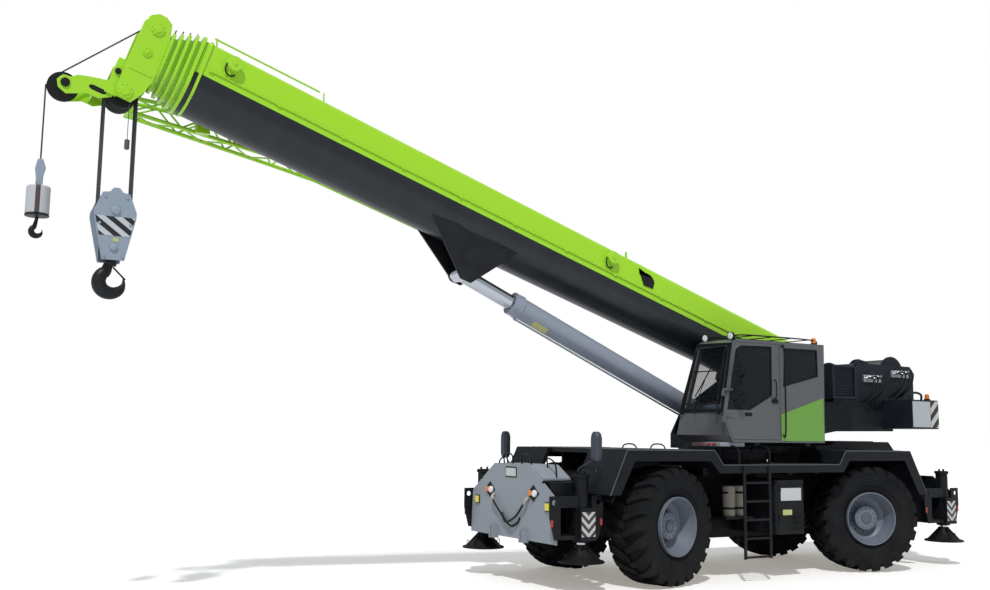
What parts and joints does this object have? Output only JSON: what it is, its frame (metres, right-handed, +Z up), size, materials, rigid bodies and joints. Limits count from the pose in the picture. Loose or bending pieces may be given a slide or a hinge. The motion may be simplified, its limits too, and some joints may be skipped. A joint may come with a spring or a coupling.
{
  "type": "rough-terrain mobile crane",
  "caption": "Rough-terrain mobile crane with telescopic boom, stowed lattice jib, side cab, outriggers, steered wheels, hook block and ball hook.",
  "frame": {"origin": "on the ground under the middle of the whole crane's box, hooks and boom tip included", "axes": "+X forward along the boom, +Y to the driver's left, +Z up"},
  "size_m": [16.7421, 3.7652, 8.0812],
  "materials": {
    "carrier_black": "satin black chassis paint",
    "machine_grey": "satin grey paint",
    "cast_grey": "rough casting, painted",
    "light_grey": "satin light grey paint",
    "blue_grey_plastic": "grained moulded housing",
    "upper_grey": "satin dark grey paint",
    "cab_grey": "semi-gloss grey paint",
    "cab_glass": "tinted safety glass",
    "seat_black": "woven cloth and moulded plastic",
    "winch_blue_grey": "satin dark blue-grey paint",
    "rope_steel": "greased wire rope",
    "boom_green": "gloss lime green paint",
    "sheave_dark": "painted casting with worn grooves",
    "rod_chrome": "polished hard chrome",
    "block_grey": "pale blue-grey paint",
    "hook_black": "forged, painted black",
    "rim_grey": "satin grey paint",
    "tyre_black": "matte rubber"
  },
  "bodies": {
    "chassis": {"carrier_frame": "carrier_black", "slew_ring": "machine_grey", "carrier_deck": "carrier_black", "engine_hood": "carrier_black", "engine_block": "cast_grey", "outrigger_boxes": "carrier_black", "front_shield": "light_grey", "rear_shield": "carrier_black", "side_boxes": "carrier_black", "ladders": "carrier_black", "deck_mirrors": "blue_grey_plastic", "axles": "carrier_black"},
    "upper": {"turntable": "upper_grey", "cab_shell": "cab_grey", "cab_glass": "cab_glass", "cab_interior": "seat_black", "oil_cooler": "winch_blue_grey", "winch_frame": "winch_blue_grey", "winches": "rope_steel", "counterweight": "winch_blue_grey"},
    "door": {"cab_door": "cab_grey", "door_glass": "cab_glass"},
    "boom": {"boom_base": "boom_green", "jib": "boom_green"},
    "boom_2": {"boom_section_2": "boom_green"},
    "boom_3": {"boom_section_3": "boom_green"},
    "boom_4": {"boom_section_4": "boom_green"},
    "boom_5": {"boom_section_5": "boom_green", "boom_head": "boom_green", "head_sheaves": "sheave_dark", "aux_nose": "boom_green"},
    "lift_barrel_body": {"lift_barrel": "machine_grey"},
    "lift_rod_body": {"lift_rod": "rod_chrome"},
    "main_hook_body": {"main_falls": "rope_steel", "main_block": "block_grey", "main_hook": "hook_black"},
    "aux_hook_body": {"ball_hook": "block_grey"},
    "knuckle_fl_body": {"knuckle_fl": "carrier_black"},
    "wheel_fl": {"rim_fl": "rim_grey", "tyre_fl": "tyre_black"},
    "beam_fl": {"outrigger_beam_fl": "carrier_black"},
    "jack_fl_body": {"jack_fl": "carrier_black"},
    "knuckle_fr_body": {"knuckle_fr": "carrier_black"},
    "wheel_fr": {"rim_fr": "rim_grey", "tyre_fr": "tyre_black"},
    "beam_fr": {"outrigger_beam_fr": "carrier_black"},
    "jack_fr_body": {"jack_fr": "carrier_black"},
    "knuckle_rl_body": {"knuckle_rl": "carrier_black"},
    "wheel_rl": {"rim_rl": "rim_grey", "tyre_rl": "tyre_black"},
    "beam_rl": {"outrigger_beam_rl": "carrier_black"},
    "jack_rl_body": {"jack_rl": "carrier_black"},
    "knuckle_rr_body": {"knuckle_rr": "carrier_black"},
    "wheel_rr": {"rim_rr": "rim_grey", "tyre_rr": "tyre_black"},
    "beam_rr": {"outrigger_beam_rr": "carrier_black"},
    "jack_rr_body": {"jack_rr": "carrier_black"}
  },
  "joints": [
    {"name": "slew", "type": "hinge", "parent": "chassis", "child": "upper", "pos_m": [-3.626, 0, 2.08], "axis": [0, 0, 1], "continuous": true},
    {"name": "luff", "type": "hinge", "parent": "upper", "child": "boom", "pos_m": [-4.526, 0, 3.3], "axis": [0, -1, 0], "range_deg": [-19.1, 61.9]},
    {"name": "lift_barrel_swing", "type": "hinge", "parent": "upper", "child": "lift_barrel_body", "pos_m": [-3.376, 0, 2.62], "axis": [0, -1, 0], "range_deg": [-20.48, 65.25]},
    {"name": "lift_rod_slide", "type": "slide", "parent": "lift_barrel_body", "child": "lift_rod_body", "axis": [0.9175, 0, 0.3977], "range_m": [-0.41, 1.3064]},
    {"name": "telescope", "type": "slide", "parent": "boom", "child": "boom_2", "axis": [0.9505, 0, 0.3107], "range_m": [0, 8.7]},
    {"name": "telescope_3", "type": "slide", "parent": "boom_2", "child": "boom_3", "axis": [0.9505, 0, 0.3107], "range_m": [0, 8.7]},
    {"name": "telescope_4", "type": "slide", "parent": "boom_3", "child": "boom_4", "axis": [0.9505, 0, 0.3107], "range_m": [0, 8.7]},
    {"name": "telescope_5", "type": "slide", "parent": "boom_4", "child": "boom_5", "axis": [0.9505, 0, 0.3107], "range_m": [0, 8.7]},
    {"name": "main_hook_swing", "type": "hinge", "parent": "boom_5", "child": "main_hook_body", "pos_m": [7.26532, 0, 6.91202], "axis": [0, -1, 0], "range_deg": [-62.4, 19.6]},
    {"name": "aux_hook_swing", "type": "hinge", "parent": "boom_5", "child": "aux_hook_body", "pos_m": [8.00977, 0, 6.91969], "axis": [0, -1, 0], "range_deg": [-62.4, 19.6]},
    {"name": "door_swing", "type": "hinge", "parent": "upper", "child": "door", "pos_m": [-2.276, 1.516, 2.262], "axis": [0, 0, -1], "range_deg": [0, 80]},
    {"name": "steer_fl", "type": "hinge", "parent": "chassis", "child": "knuckle_fl_body", "pos_m": [-1.069, 1.0725, 0.935], "axis": [0, 0, 1], "range_deg": [-40.6, 13.4]},
    {"name": "wheel_fl_spin", "type": "hinge", "parent": "knuckle_fl_body", "child": "wheel_fl", "pos_m": [-1.11603, 1.26689, 0.935], "axis": [-0.2351, 0.972, 0], "continuous": true},
    {"name": "beam_fl_slide", "type": "slide", "parent": "chassis", "child": "beam_fl", "axis": [0, 1, 0], "range_m": [0, 2.1]},
    {"name": "jack_fl_slide", "type": "slide", "parent": "beam_fl", "child": "jack_fl_body", "axis": [0, 0, -1], "range_m": [0, 0.65]},
    {"name": "steer_fr", "type": "hinge", "parent": "chassis", "child": "knuckle_fr_body", "pos_m": [-1.069, -1.0725, 0.935], "axis": [0, 0, 1], "range_deg": [-40.6, 13.4]},
    {"name": "wheel_fr_spin", "type": "hinge", "parent": "knuckle_fr_body", "child": "wheel_fr", "pos_m": [-1.02197, -1.26689, 0.935], "axis": [-0.2351, 0.972, 0], "continuous": true},
    {"name": "beam_fr_slide", "type": "slide", "parent": "chassis", "child": "beam_fr", "axis": [0, -1, 0], "range_m": [0, 2.1]},
    {"name": "jack_fr_slide", "type": "slide", "parent": "beam_fr", "child": "jack_fr_body", "axis": [0, 0, -1], "range_m": [0, 0.65]},
    {"name": "steer_rl", "type": "hinge", "parent": "chassis", "child": "knuckle_rl_body", "pos_m": [-5.804, 1.0725, 0.935], "axis": [0, 0, 1], "range_deg": [-7.2, 46.8]},
    {"name": "wheel_rl_spin", "type": "hinge", "parent": "knuckle_rl_body", "child": "wheel_rl", "pos_m": [-5.73625, 1.26068, 0.935], "axis": [0.3387, 0.9409, 0], "continuous": true},
    {"name": "beam_rl_slide", "type": "slide", "parent": "chassis", "child": "beam_rl", "axis": [0, 1, 0], "range_m": [0, 2.1]},
    {"name": "jack_rl_slide", "type": "slide", "parent": "beam_rl", "child": "jack_rl_body", "axis": [0, 0, -1], "range_m": [0, 0.65]},
    {"name": "steer_rr", "type": "hinge", "parent": "chassis", "child": "knuckle_rr_body", "pos_m": [-5.804, -1.0725, 0.935], "axis": [0, 0, 1], "range_deg": [-7.2, 46.8]},
    {"name": "wheel_rr_spin", "type": "hinge", "parent": "knuckle_rr_body", "child": "wheel_rr", "pos_m": [-5.87175, -1.26068, 0.935], "axis": [0.3387, 0.9409, 0], "continuous": true},
    {"name": "beam_rr_slide", "type": "slide", "parent": "chassis", "child": "beam_rr", "axis": [0, -1, 0], "range_m": [0, 2.1]},
    {"name": "jack_rr_slide", "type": "slide", "parent": "beam_rr", "child": "jack_rr_body", "axis": [0, 0, -1], "range_m": [0, 0.65]}
  ],
  "couplings": [
    {"joint": "lift_barrel_swing", "follows": "luff", "ratio": 1.046},
    {"joint": "lift_rod_slide", "follows": "luff", "m_per_rad": 1.2},
    {"joint": "main_hook_swing", "follows": "luff", "ratio": -1},
    {"joint": "aux_hook_swing", "follows": "luff", "ratio": -1},
    {"joint": "telescope_3", "follows": "telescope", "ratio": 1},
    {"joint": "telescope_4", "follows": "telescope", "ratio": 1},
    {"joint": "telescope_5", "follows": "telescope", "ratio": 1},
    {"joint": "steer_fr", "follows": "steer_fl", "ratio": 1},
    {"joint": "steer_rr", "follows": "steer_rl", "ratio": 1}
  ]
}
